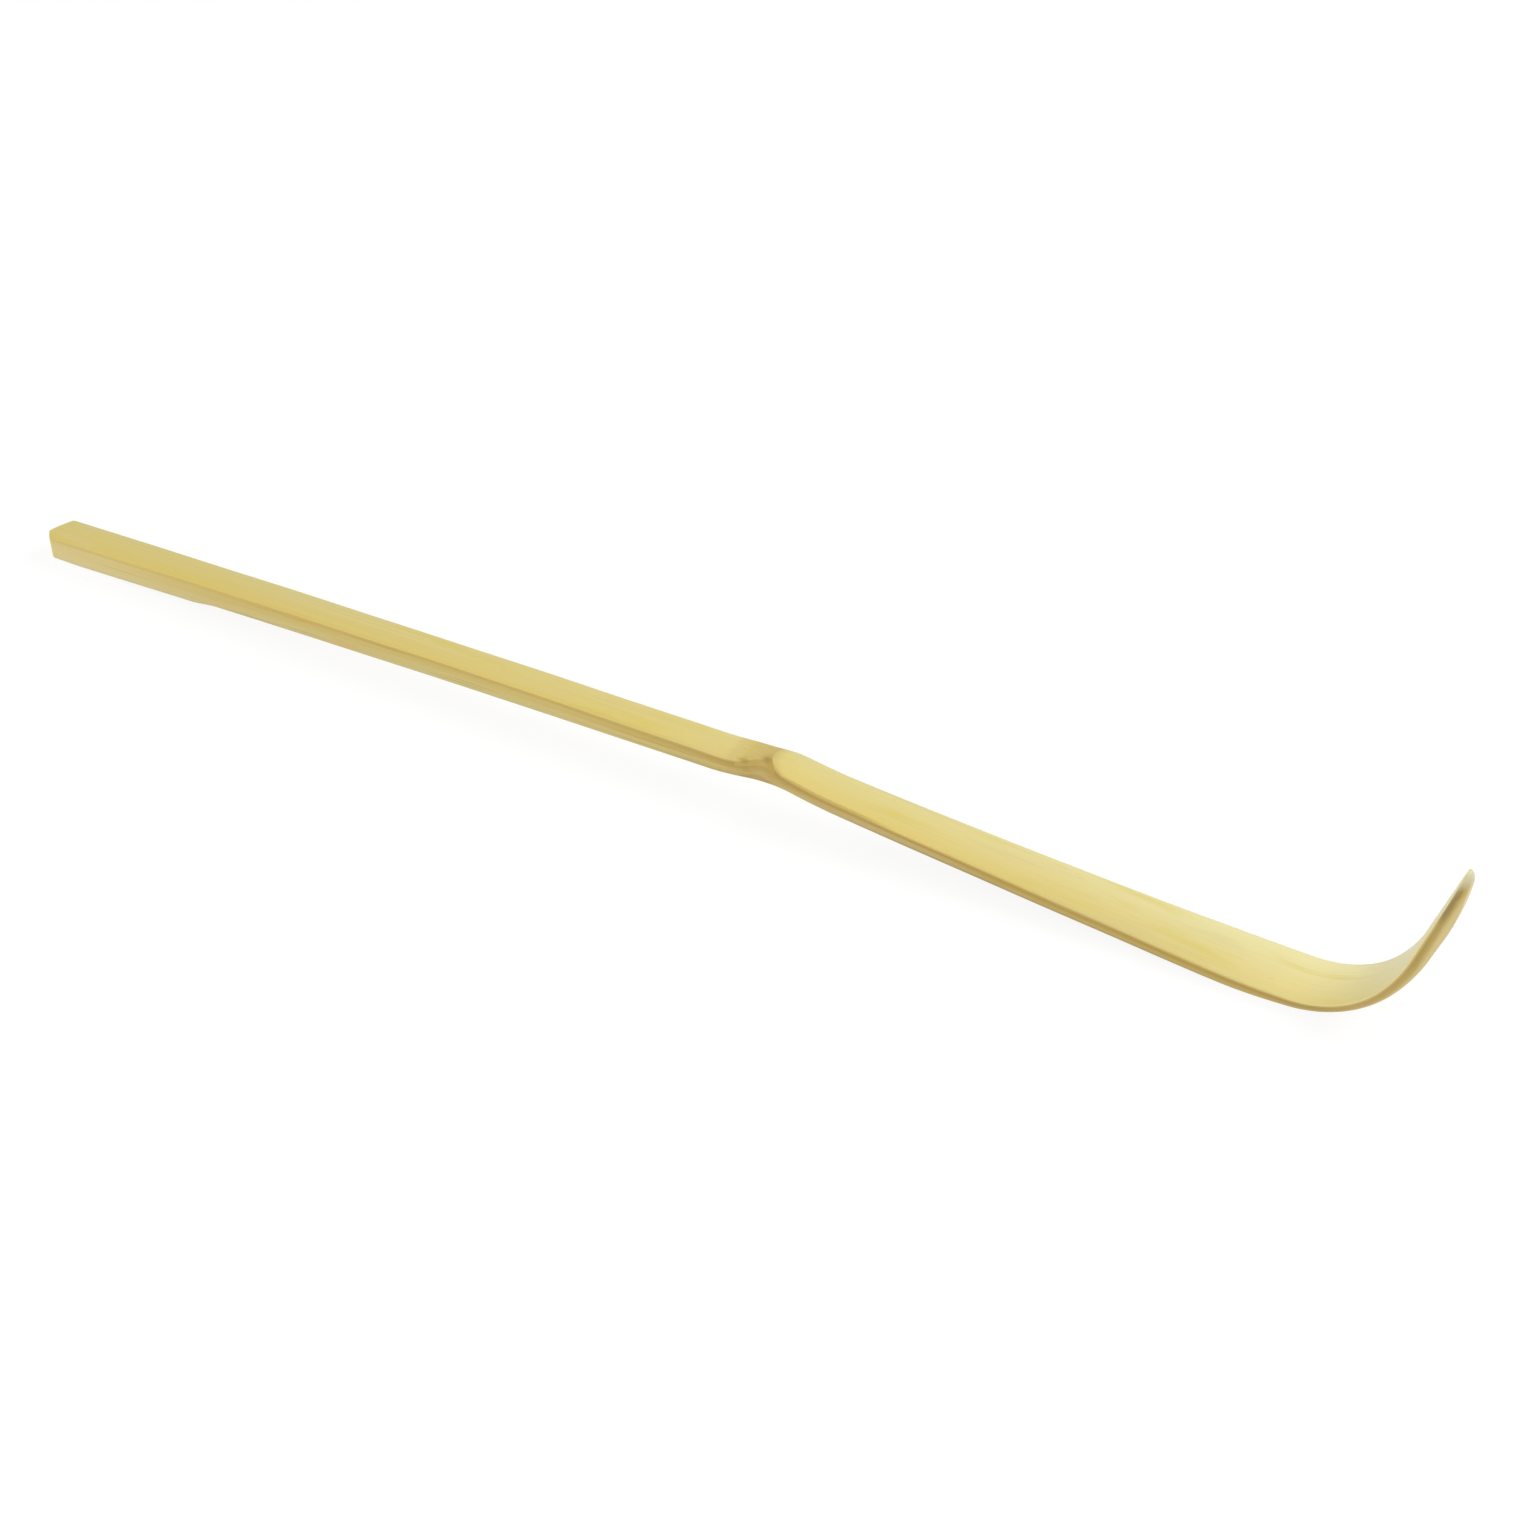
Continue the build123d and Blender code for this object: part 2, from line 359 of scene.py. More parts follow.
def eased_steps(radius, count=EDGE_STEPS):
    """Distances from an edge that divide its rounding evenly."""
    return [radius * (1 - math.cos(math.pi / 2 * i / count)) for i in range(count + 1)]


def columns_across():
    """Columns from the near edge to the far one, as shares of the width with an added distance."""
    near = [(0, distance) for distance in eased_steps(BUTT_EDGE_EASE, BUTT_EDGE_STEPS)]
    for i in range(1, COLUMNS // 2):
        near.append((i / COLUMNS, BUTT_EDGE_EASE * max(1 - i / EDGE_COLUMNS, 0)))
    return near + [(0.5, 0)] + [(1 - share, -distance) for share, distance in reversed(near)]


def stations(first, last):
    """Places along the slip, closer together where it bends or is carved."""
    places = {first, last}
    for start, end, step in STRETCHES:
        count = max(round((end - start) / step), 1)
        places |= {start + (end - start) * i / count for i in range(count + 1)}
    inside = sorted(p for p in places if first <= p <= last)
    return [p for i, p in enumerate(inside)
            if i == 0 or p - inside[i - 1] > CLOSEST_LINES or p == last]


def butt_start(y, side_gap, depth, under):
    """Where the butt's cuts lie, with their edges eased."""
    reach = BUTT_WIDTH / 2
    if y < -BUTT_RIDGE_OFFSET:
        cut = BUTT_NEAR_CUT * (-BUTT_RIDGE_OFFSET - y) / (reach - BUTT_RIDGE_OFFSET)
    else:
        cut = BUTT_FAR_CUT * (y + BUTT_RIDGE_OFFSET) / (reach + BUTT_RIDGE_OFFSET)
    cut = math.sqrt(cut**2 + BUTT_RIDGE_ROUNDING**2) - BUTT_RIDGE_ROUNDING / 2
    cut += easing(side_gap, BUTT_EDGE_EASE) + easing(under - depth, BUTT_EDGE_EASE)
    return cut + easing(depth - crown_drop(y), BUTT_TOP_EASE)


def slip_spot(line, across, layer, tissue):
    """A lattice point on the straight slip; across and layer are shares with an added distance."""
    if line > TIP_FAN_START and tissue.to_tip:
        return tip_spot(line, across, layer, tissue)
    y = (2 * across[0] - 1) * cross_cut(line)[0]
    for _ in range(PLACE_ROUNDS):
        place = line + tongue_shift(line, y)
        edges = []
        for side in (-1, 1):
            rim = side * cross_cut(place)[0]
            for _ in range(EDGE_ROUNDS):
                depth = tissue.depth(line, place, rim, layer)
                rim = side * edge_at(place, side, depth, underside_depth(place))
            edges.append(abs(rim))
        y = -edges[0] + across[0] * (edges[0] + edges[1]) + across[1]
    depth = tissue.depth(line, place, y, layer)
    if line < BUTT_REACH and tissue.from_butt:
        side_gap = min(y + edges[0], edges[1] - y)
        place += (1 - line / BUTT_REACH) * butt_start(y, side_gap, depth, underside_depth(line))
        depth = tissue.depth(line, place, y, layer)
    return Vector((place, y, -depth))


def tip_spot(line, across, layer, tissue):
    """A lattice point of the tip, where the lines along the slip fan out to its rounded end."""
    share = (line - TIP_FAN_START) / (SCOOP_LENGTH - TIP_FAN_START)
    half = cross_cut(TIP_ROUND_START)[0]
    even = 2 * across[0] - 1 + across[1] / half
    wide_turn = math.atan(TIP_FAN_SPREAD * math.tan(even * math.pi / 2 * TIP_FAN_LIMIT))
    angle = (1 - TIP_FAN_SHARE) * even * math.pi / 2 + TIP_FAN_SHARE * wide_turn
    spread = even + (math.sin(angle) - even) * share**2
    side = 1 if even > 0 else -1
    place, y = line, half * spread
    for _ in range(TIP_ROUNDS):
        depth = tissue.depth(line, place, y, layer)
        under = underside_depth(place)
        flank = edge_at(TIP_ROUND_START, side, depth, under)
        end = TIP_ROUND_START + (TIP_ROUND_LENGTH - half + flank) * math.cos(angle)
        place = TIP_FAN_START + share * (end - TIP_FAN_START)
        y = spread * edge_at(min(place, TIP_ROUND_START), side, depth, under)
    return Vector((place, y, -tissue.depth(line, place, y, layer)))


class Tissue:
    """One tissue of the slip: where it starts and ends, and how deep its two faces lie."""

    def __init__(self, start, end, top, bottom, layers):
        self.start, self.end = start, end
        self.top, self.bottom = top, bottom
        self.layers = layers
        self.from_butt = start == 0
        self.to_tip = end == SCOOP_LENGTH

    def depth(self, line, place, y, layer):
        """Depth of a spot whose layer is a share of the way down with an added distance."""
        top, bottom = self.top(line, place, y), self.bottom(line, place, y)
        room = min(bottom - top, 1) if layer[0] else 1
        return top + layer[0] * (bottom - top) + layer[1] * room


def lattice_mesh(name, tissue, places):
    """A closed mesh whose six faces are lattices of slip spots."""
    columns, layers = columns_across(), tissue.layers
    last_i, last_j, last_k = len(places) - 1, len(columns) - 1, len(layers) - 1
    mesh = bmesh.new()
    spots = {}

    def corner(i, j, k):
        if (i, j, k) not in spots:
            spots[i, j, k] = mesh.verts.new(slip_spot(places[i], columns[j], layers[k], tissue) * MM)
        return spots[i, j, k]

    def add_face(*corners):
        mesh.faces.new([corner(*indices) for indices in corners])

    for i in range(last_i):
        for j in range(last_j):
            for k in (0, last_k):
                add_face((i, j, k), (i + 1, j, k), (i + 1, j + 1, k), (i, j + 1, k))
        for k in range(last_k):
            for j in (0, last_j):
                add_face((i, j, k), (i + 1, j, k), (i + 1, j, k + 1), (i, j, k + 1))
    for j in range(last_j):
        for k in range(last_k):
            for i in (0, last_i):
                add_face((i, j, k), (i, j + 1, k), (i, j + 1, k + 1), (i, j, k + 1))
    bmesh.ops.remove_doubles(mesh, verts=mesh.verts, dist=MERGE_DISTANCE)
    bmesh.ops.recalc_face_normals(mesh, faces=mesh.faces)
    data = bpy.data.meshes.new(name)
    mesh.to_mesh(data)
    mesh.free()
    return data


# Depths of the tissues' faces. A line of the lattice keeps its tissue where its place is shifted.

def skin_top(line, place, y):
    return crown_drop(y)


def skin_bottom(line, place, y):
    return crown_drop(y) + SKIN_THICKNESS


def ring_bottom(line, place, y):
    return crown_drop(y) + RING_DEPTH


def wall_top(line, place, y):
    in_ring = RING_START + BORDER_STEP / 2 < line < RING_END - BORDER_STEP / 2
    return crown_drop(y) + (RING_DEPTH if in_ring else SKIN_THICKNESS)


def septum_height(line):
    """Height of the septum's round root above the underside."""
    radius = (SEPTUM_CHORD**2 / 4 + SEPTUM_DEPTH**2) / (2 * SEPTUM_DEPTH)
    off = min(abs(line - RING_MIDDLE), SEPTUM_CHORD / 2)
    return math.sqrt(radius**2 - off**2) - (radius - SEPTUM_DEPTH)


def underside(line, place, y):
    return underside_depth(place)


def wall_bottom(line, place, y):
    return underside_depth(place) - max(septum_height(line), 0)


def septum_top(line, place, y):
    return underside_depth(place) - max(septum_height(line), SEPTUM_EDGE)


# Node trees

def add_node(tree, kind, settings=None, links=None):
    """Adds a node, sets its properties and input values, and links its inputs to other sockets."""
    node = tree.nodes.new(kind)
    for key, value in (settings or {}).items():
        if key == "stops":
            for _ in value[2:]:
                node.color_ramp.elements.new(0.5)
            for element, (position, tone) in zip(node.color_ramp.elements, value):
                element.position = position
                element.color = colour(tone)
        elif isinstance(key, int):
            node.inputs[key].default_value = value
        elif key in node.inputs and not hasattr(node, key):
            node.inputs[key].default_value = value
        else:
            setattr(node, key, value)
    for key, socket in (links or {}).items():
        tree.links.new(socket, node.inputs[key])
    return node


def heat_bend_tree():
    """Bends a straight tissue along the middle line, and keeps its straight place as grain."""
    tree = bpy.data.node_groups.new("heat_bend", "GeometryNodeTree")
    face = tree.interface
    face.new_socket("Tissue", in_out="INPUT", socket_type="NodeSocketGeometry")
    face.new_socket("Middle line", in_out="INPUT", socket_type="NodeSocketObject")
    face.new_socket("Finish", in_out="INPUT", socket_type="NodeSocketMaterial")
    face.new_socket("Bent tissue", in_out="OUTPUT", socket_type="NodeSocketGeometry")
    given = add_node(tree, "NodeGroupInput")
    spot = add_node(tree, "GeometryNodeInputPosition")
    grain = add_node(tree, "GeometryNodeStoreNamedAttribute",
                     {"data_type": "FLOAT_VECTOR", "domain": "POINT", "Name": "grain"},
                     {"Geometry": given.outputs["Tissue"], "Value": spot.outputs[0]})
    straight = add_node(tree, "ShaderNodeSeparateXYZ", links={0: spot.outputs[0]})
    line = add_node(tree, "GeometryNodeObjectInfo", links={"Object": given.outputs["Middle line"]})
    along = add_node(tree, "GeometryNodeSampleCurve", {"mode": "LENGTH", "use_all_curves": True},
                     {"Curves": line.outputs["Geometry"], "Length": straight.outputs["X"]})
    across = add_node(tree, "ShaderNodeCombineXYZ", links={"Y": straight.outputs["Y"]})
    outward = add_node(tree, "ShaderNodeVectorMath", {"operation": "CROSS_PRODUCT", 1: (0, 1, 0)},
                       {0: along.outputs["Tangent"]})
    lift = add_node(tree, "ShaderNodeVectorMath", {"operation": "SCALE"},
                    {0: outward.outputs[0], "Scale": straight.outputs["Z"]})
    beside = add_node(tree, "ShaderNodeVectorMath", {"operation": "ADD"},
                      {0: along.outputs["Position"], 1: across.outputs[0]})
    bent = add_node(tree, "ShaderNodeVectorMath", {"operation": "ADD"},
                    {0: beside.outputs[0], 1: lift.outputs[0]})
    moved = add_node(tree, "GeometryNodeSetPosition",
                     links={0: grain.outputs[0], "Position": bent.outputs[0]})
    real = add_node(tree, "GeometryNodeRealizeInstances", links={0: moved.outputs[0]})
    done = add_node(tree, "GeometryNodeSetMaterial",
                    links={"Geometry": real.outputs[0], "Material": given.outputs["Finish"]})
    add_node(tree, "NodeGroupOutput", links={0: done.outputs[0]})
    return tree


def middle_line_curve():
    """The middle line as a curve, where the scoop lies on the table, run on a little past the tip."""
    points = []
    for i in range(CURVE_STEPS + 1):
        place = SCOOP_LENGTH * CURVE_OVERRUN * i / CURVE_STEPS
        x, z, heading = middle_point(place)
        over = max(place - SCOOP_LENGTH, 0)
        points.append(laid_down(x + over * math.cos(heading), z + over * math.sin(heading)))
    apex = laid_down(*bench_point(0, crown_drop(BUTT_RIDGE_OFFSET)))[0]
    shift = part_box("grip_skin")[0][0] / MM - apex
    data = bpy.data.curves.new("middle_line", "CURVE")
    data.dimensions = "3D"
    spline = data.splines.new("POLY")
    spline.points.add(CURVE_STEPS)
    for point, (x, z) in zip(spline.points, points):
        point.co = ((x + shift) * MM, 0, z * MM, 1)
    line = bpy.data.objects.new("middle_line", data)
    bpy.context.scene.collection.objects.link(line)
    return line


def socket_id(tree, name):
    return next(item.identifier for item in tree.interface.items_tree if item.name == name)


def bend_piece(name, tissue, places, finish, node):
    """Bends a straight tissue with the tree, makes the result a plain mesh and hands it over."""
    piece = bpy.data.objects.new(name, lattice_mesh(name + "_straight", tissue, places))
    bpy.context.scene.collection.objects.link(piece)
    bend = piece.modifiers.new("heat_bend", "NODES")
    bend.node_group = bend_tree
    bend[socket_id(bend_tree, "Middle line")] = middle_line
    bend[socket_id(bend_tree, "Finish")] = finish
    evaluated = piece.evaluated_get(bpy.context.evaluated_depsgraph_get())
    bent = bpy.data.meshes.new_from_object(evaluated)
    piece.modifiers.clear()
    piece.data = bent
    bent.name = name
    bent.polygons.foreach_set("use_smooth", [True] * len(bent.polygons))
    bent.set_sharp_from_angle(angle=math.radians(SHARP_ANGLE))
    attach(piece, "root")
    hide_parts(node)


# Materials. All of them are bamboo, and their patterns follow the grain of the straight slip.

def colour(hex_code):
    """An sRGB hex colour as linear red, green, blue and alpha."""
    parts = [int(hex_code[i:i + 2], 16) / 255 for i in (1, 3, 5)]
    linear = [p / 12.92 if p <= 0.04045 else ((p + 0.055) / 1.055) ** 2.4 for p in parts]
    return (*linear, 1.0)


def new_material(name):
    material = bpy.data.materials.new(name)
    material.use_nodes = True
    material.node_tree.nodes.clear()
    return material, material.node_tree


def grain_spot(tree):
    """The spot on the straight slip in millimetres: whole, along, across and its rise from the skin."""
    grain = add_node(tree, "ShaderNodeAttribute", {"attribute_name": "grain"})
    spot = add_node(tree, "ShaderNodeVectorMath", {"operation": "SCALE", "Scale": 1 / MM},
                    {0: grain.outputs["Vector"]})
    parts = add_node(tree, "ShaderNodeSeparateXYZ", links={0: spot.outputs[0]})
    square = add_node(tree, "ShaderNodeMath", {"operation": "MULTIPLY"},
                      {0: parts.outputs["Y"], 1: parts.outputs["Y"]})
    rise = add_node(tree, "ShaderNodeMath", {"operation": "MULTIPLY_ADD", 1: 1 / (2 * CULM_RADIUS)},
                    {0: square.outputs[0], 2: parts.outputs["Z"]})
    return spot.outputs[0], parts.outputs["X"], parts.outputs["Y"], rise.outputs[0]


def along_slip(tree, place, stops):
    """A colour that changes along the slip, from the butt at 0 to the tip at 1."""
    share = add_node(tree, "ShaderNodeMapRange", {1: 0, 2: SCOOP_LENGTH}, {0: place})
    return add_node(tree, "ShaderNodeValToRGB", {"stops": stops}, {0: share.outputs[0]}).outputs[0]


def fibre_pattern(tree, spot, length, width, detail, seed):
    """Streaks along the grain, of about this length and width in millimetres."""
    per_mm = (1 / length, 1 / width, 1 / width)
    drawn = add_node(tree, "ShaderNodeVectorMath", {"operation": "MULTIPLY", 1: per_mm}, {0: spot})
    streaks = add_node(tree, "ShaderNodeTexNoise",
                       {"noise_dimensions": "4D", "W": seed, "Scale": 1.0, "Detail": detail,
                        "Roughness": 0.55},
                       {"Vector": drawn.outputs[0]})
    return streaks.outputs[0]


def fade(tree, pattern, low, high, strength):
    """An amount that grows from nothing to its strength where a pattern goes from low to high."""
    settings = {"interpolation_type": "SMOOTHSTEP", 1: low, 2: high}
    links = {0: pattern}
    if isinstance(strength, bpy.types.NodeSocket):
        links[4] = strength
    else:
        settings[4] = strength
    return add_node(tree, "ShaderNodeMapRange", settings, links).outputs[0]


def stain(tree, under, tint, pattern, low, high, strength):
    """Stains a colour with a tint where a pattern goes from low to high."""
    amount = fade(tree, pattern, low, high, strength)
    mix = add_node(tree, "ShaderNodeMix", {"data_type": "RGBA", 7: colour(tint)}, {0: amount, 6: under})
    return mix.outputs[2]


def wavy_distance(tree, spot, place, centre, wave):
    """Distance along the slip from a place, with a border that the fibres make uneven."""
    uneven = fibre_pattern(tree, spot, length=1.6, width=0.5, detail=2.0, seed=centre)
    moved = add_node(tree, "ShaderNodeMath", {"operation": "MULTIPLY_ADD", 1: wave}, {0: uneven, 2: place})
    off = add_node(tree, "ShaderNodeMath", {"operation": "SUBTRACT", 1: centre + wave / 2},
                   {0: moved.outputs[0]})
    far = add_node(tree, "ShaderNodeMath", {"operation": "ABSOLUTE"}, {0: off.outputs[0]})
    return far.outputs[0]


def past_tongue(tree, place, across):
    """How far a spot lies past the bowed line where the blade's skin starts."""
    off = add_node(tree, "ShaderNodeMath", {"operation": "SUBTRACT", 1: TONGUE_MIDDLE}, {0: across})
    bow = add_node(tree, "ShaderNodeMath", {"operation": "MULTIPLY"},
                   {0: off.outputs[0], 1: off.outputs[0]})
    line = add_node(tree, "ShaderNodeMath", {"operation": "MULTIPLY_ADD", 1: TONGUE_BOW, 2: RING_END},
                    {0: bow.outputs[0]})
    past = add_node(tree, "ShaderNodeMath", {"operation": "SUBTRACT"}, {0: place, 1: line.outputs[0]})
    return past.outputs[0]


def from_near_edge(tree, place, across):
    """How far a spot of the blade's first half lies from the slip's near edge."""
    growth = (BLADE_START_WIDTH - GRIP_END_WIDTH) / 2 / (BLADE_START - GRIP_LENGTH)
    at_butt = GRIP_END_WIDTH / 2 - growth * GRIP_LENGTH
    half = add_node(tree, "ShaderNodeMath", {"operation": "MULTIPLY_ADD", 1: growth, 2: at_butt},
                    {0: place})
    near = add_node(tree, "ShaderNodeMath", {"operation": "ADD"}, {0: half.outputs[0], 1: across})
    return near.outputs[0]


def node_dark_spot(tree, spot, centre, reach):
    """Distance from a small dark mark of the node, as a share of its reach along, across and down."""
    off = add_node(tree, "ShaderNodeVectorMath", {"operation": "SUBTRACT", 1: centre}, {0: spot})
    scaled = add_node(tree, "ShaderNodeVectorMath", {"operation": "DIVIDE", 1: reach}, {0: off.outputs[0]})
    far = add_node(tree, "ShaderNodeVectorMath", {"operation": "LENGTH"}, {0: scaled.outputs[0]})
    return far.outputs["Value"]


def with_node_dark_spots(tree, under, spot):
    """The two dark spots at the node, along the upper edge of the near scallop."""
    for centre, reach in NODE_DARK_SPOTS:
        under = stain(tree, under, "#8E7434", node_dark_spot(tree, spot, centre, reach), 1.0, 0.1, 0.5)
    return under


def finish_bamboo(name, make):
    """A bamboo material from what make gives: colour, roughness, relief, the relief's height and gloss."""
    material, tree = new_material(name)
    tone, roughness, relief, height, gloss = make(tree)
    bump = add_node(tree, "ShaderNodeBump", {"Strength": 1.0, "Distance": height * MM},
                    {"Height": relief})
    shader = add_node(tree, "ShaderNodeBsdfPrincipled", {"IOR": 1.5, "Specular IOR Level": gloss},
                      {"Base Color": tone, "Roughness": roughness, "Normal": bump.outputs[0]})
    add_node(tree, "ShaderNodeOutputMaterial", links={"Surface": shader.outputs[0]})
    return material


# The skin of the culm, scraped and rubbed smooth. It is waxy and close, so it has a soft sheen. Long
# strands of the bundles below show through it, 0.5 mm wide, with slow yellower and greyer clouds.
# It is more golden along the near edge and paler along the far one: painted shade and painted sheen
# across the skin's round. It is paler round the bend, where it was scraped most and where the paler
# colour is also painted light on the curl's inside. Its cut rim is darker.
def polished_skin(tree):
    spot, place, across, rise = grain_spot(tree)
    # Both tones grow paler round the bend: partly painted light on the curl's inside
    golden = along_slip(tree, place, [(0.0, "#DBC263"), (0.25, "#DDC366"), (0.48, "#E3CB6C"),
                                      (0.6, "#E2CA6E"), (0.7, "#DFCA76"), (0.79, "#DFCD7E"),
                                      (0.87, "#EAD98E"), (1.0, "#E6DEA4")])
    pale = along_slip(tree, place, [(0.0, "#D5C87C"), (0.25, "#D9CC82"), (0.48, "#E3D68C"),
                                    (0.6, "#E6DB96"), (0.7, "#EADE9A"), (0.79, "#EDE3A3"),
                                    (0.87, "#F2E8AA"), (1.0, "#E6E2BA")])
    # Golden towards the near edge, pale towards the far one: painted shade and painted sheen across the
    # skin's round
    side = add_node(tree, "ShaderNodeMapRange", {1: -3, 2: 3}, {0: across})
    tone = add_node(tree, "ShaderNodeMix", {"data_type": "RGBA"},
                    {0: side.outputs[0], 6: golden, 7: pale}).outputs[2]
    clouds = fibre_pattern(tree, spot, length=14, width=2.2, detail=2.0, seed=3.0)
    tone = stain(tree, tone, "#D9C548", clouds, 0.5, 0.72, 0.4)
    tone = stain(tree, tone, "#DAC892", clouds, 0.48, 0.3, 0.3)
    strands = fibre_pattern(tree, spot, length=34, width=0.5, detail=2.0, seed=7.0)
    tone = stain(tree, tone, "#C2A654", strands, 0.52, 0.76, 0.15)
    tone = stain(tree, tone, "#F0E8BC", strands, 0.46, 0.26, 0.12)
    flecks = fibre_pattern(tree, spot, length=1.3, width=0.16, detail=1.0, seed=11.0)
    tone = stain(tree, tone, "#A38A48", flecks, 0.7, 0.8, 0.25)
    scar = wavy_distance(tree, spot, place, RING_MIDDLE - 0.5, 1.2)
    tone = stain(tree, tone, "#D6C078", scar, RING_LENGTH / 2 + 1.3, RING_LENGTH / 2 - 0.2, 0.75)
    rim = fade(tree, place, SCOOP_LENGTH - 0.5, SCOOP_LENGTH - 3, fade(tree, place, -25, 60, 0.8))
    tone = stain(tree, tone, "#C2A352", rise, -0.03, -0.2, rim)
    # Darker just under the skin's rim near the tip
    tip_edge_darkening = fade(tree, wavy_distance(tree, spot, place, SCOOP_LENGTH - 3.8, 1.0), 4, 1, 0.6)
    tone = stain(tree, tone, "#7E6436", rise, -0.02, -0.12, tip_edge_darkening)
    tone = stain(tree, tone, "#D6CC62", place, 1.6, 0.4, 0.5)
    border = past_tongue(tree, place, across)
    ridge_side = fade(tree, border, 1.4, 0.1, 0.5)
    tone = stain(tree, tone, "#CFB468", place, RING_END - 0.5, RING_END, ridge_side)
    planed_edge = fade(tree, wavy_distance(tree, spot, place, 109, 0.6), 11, 5, 0.55)
    tone = stain(tree, tone, "#B7953F", from_near_edge(tree, place, across), 0.34, 0.14, planed_edge)
    tone = with_node_dark_spots(tree, tone, spot)
    roughness = add_node(tree, "ShaderNodeMapRange", {3: 0.33, 4: 0.46}, {0: clouds})
    return tone, roughness.outputs[0], strands, 0.008, 0.5


# The wood of the culm's wall, cut along the grain with a knife. Its fibre bundles are darker strands
# in paler soft tissue, small and close near the skin and sparse inside, and show as dots where they
# are cut across. It browns just below the skin from the node on, where it was held over heat to
# bend it, over a paler band and a stained foot along the blade. It is pale again where it was cut
# thin at the tip, and darker just below the skin there. The knife leaves it less even and less glossy than
# the skin.
def knife_cut_wall(tree):
    spot, place, _, rise = grain_spot(tree)
    inward = add_node(tree, "ShaderNodeMapRange", {1: 0, 2: -WALL_DEPTH}, {0: rise})
    tone = add_node(tree, "ShaderNodeValToRGB",
                    {"stops": [(0.08, "#C8AD58"), (0.2, "#D0B968"), (0.4, "#D3BE72"), (0.62, "#D3C27E"),
                               (1.0, "#D5C692")]},
                    {0: inward.outputs[0]}).outputs[0]
    streaks = fibre_pattern(tree, spot, length=26, width=0.24, detail=3.0, seed=5.0)
    tone = stain(tree, tone, "#AE8E44", streaks, 0.52, 0.76, 0.3)
    tone = stain(tree, tone, "#E9DDAC", streaks, 0.48, 0.26, 0.3)
    drawn = add_node(tree, "ShaderNodeVectorMath", {"operation": "DIVIDE", 1: (18, 0.5, 0.42)}, {0: spot})
    bundles = add_node(tree, "ShaderNodeTexVoronoi", {"Scale": 1.0, "Randomness": 0.85},
                       {"Vector": drawn.outputs[0]})
    tone = stain(tree, tone, "#9E8040", bundles.outputs["Distance"], 0.32, 0.12, 0.28)
    clouds = fibre_pattern(tree, spot, length=8, width=0.9, detail=2.0, seed=2.0)
    tone = stain(tree, tone, "#DFA646", clouds, 0.52, 0.74, 0.34)
    browned = fade(tree, place, 70, 106, fade(tree, place, SCOOP_LENGTH + 14, BEND_END - 4, 0.6))
    tone = stain(tree, tone, "#A68022", inward.outputs[0], 0.48, 0.14, browned)
    tone = stain(tree, tone, "#AE8C46", wavy_distance(tree, spot, place, 101.5, 2.0), 7, 1, 0.45)
    greyed = fade(tree, wavy_distance(tree, spot, place, 95, 2.0), 8, 3, 0.4)
    tone = stain(tree, tone, "#A8985E", inward.outputs[0], 0.4, 0.66, greyed)
    paler = fade(tree, wavy_distance(tree, spot, place, 118, 2.0), 15, 5, 0.6)
    tone = stain(tree, tone, "#CCB67C", inward.outputs[0], 0.13, 0.25, paler)
    foot_stained = fade(tree, place, 98, 126, fade(tree, place, BEND_START, BLADE_END - 5, 0.66))
    tone = stain(tree, tone, "#9A8652", inward.outputs[0], 0.3, 0.46, foot_stained)
    bent = fade(tree, wavy_distance(tree, spot, place, BEND_END - 1, 2.0), 9, 3, 0.45)
    tone = stain(tree, tone, "#CFB268", inward.outputs[0], 0.6, 0.3, bent)
    curled = fade(tree, place, BEND_START - 2, BEND_END, 0.85)
    tone = stain(tree, tone, "#EFDA98", inward.outputs[0], 0.24, 0.46, curled)
    thinned = fade(tree, place, SCOOP_LENGTH - 15, SCOOP_LENGTH - 7, 0.7)
    tone = stain(tree, tone, "#EBD594", inward.outputs[0], 0.19, 0.4, thinned)
    # Darker just below the skin near the tip
    tip_edge_darkening = fade(tree, wavy_distance(tree, spot, place, SCOOP_LENGTH - 3.8, 1.0), 4, 1, 0.5)
    tone = stain(tree, tone, "#7E6436", inward.outputs[0], 0.26, 0.12, tip_edge_darkening)
    thin_end = wavy_distance(tree, spot, place, SCOOP_LENGTH, 0.6)
    tone = stain(tree, tone, "#E2DEBC", thin_end, 2.2, 0.4, 0.8)
    tone = stain(tree, tone, "#F0DFA6", place, 34, 0, 0.36)
    butt_face = wavy_distance(tree, spot, place, 0, 0.3)
    tone = stain(tree, tone, "#E0D262", butt_face, 1.5, 0.9, 0.6)
    tone = with_node_dark_spots(tree, tone, spot)
    relief = add_node(tree, "ShaderNodeMath", {"operation": "MULTIPLY_ADD", 1: 2.0},
                      {0: clouds, 2: streaks})
    roughness = add_node(tree, "ShaderNodeMapRange", {3: 0.44, 4: 0.62}, {0: streaks})
    return tone, roughness.outputs[0], relief.outputs[0], 0.03, 0.45


